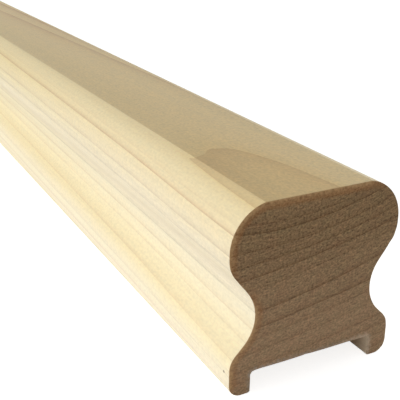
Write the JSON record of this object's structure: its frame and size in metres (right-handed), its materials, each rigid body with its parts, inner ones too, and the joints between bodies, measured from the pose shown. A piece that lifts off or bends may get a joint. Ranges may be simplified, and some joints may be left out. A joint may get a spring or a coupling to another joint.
{
  "type": "stair handrail length",
  "caption": "Straight softwood stair handrail with a rounded head, coved waist and flared foot, grooved along its underside to take spindle tops.",
  "frame": {"origin": "mid-length of the rail, at the middle of its width, on the level of the two soles it stands on", "axes": "+Y along the rail, +X across its width, +Z from the soles up to the top of the head"},
  "size_m": [0.057, 2.4, 0.0585],
  "materials": {
    "pine": "planed, unfinished"
  },
  "bodies": {
    "root": {"handrail": "pine"}
  },
  "joints": []
}
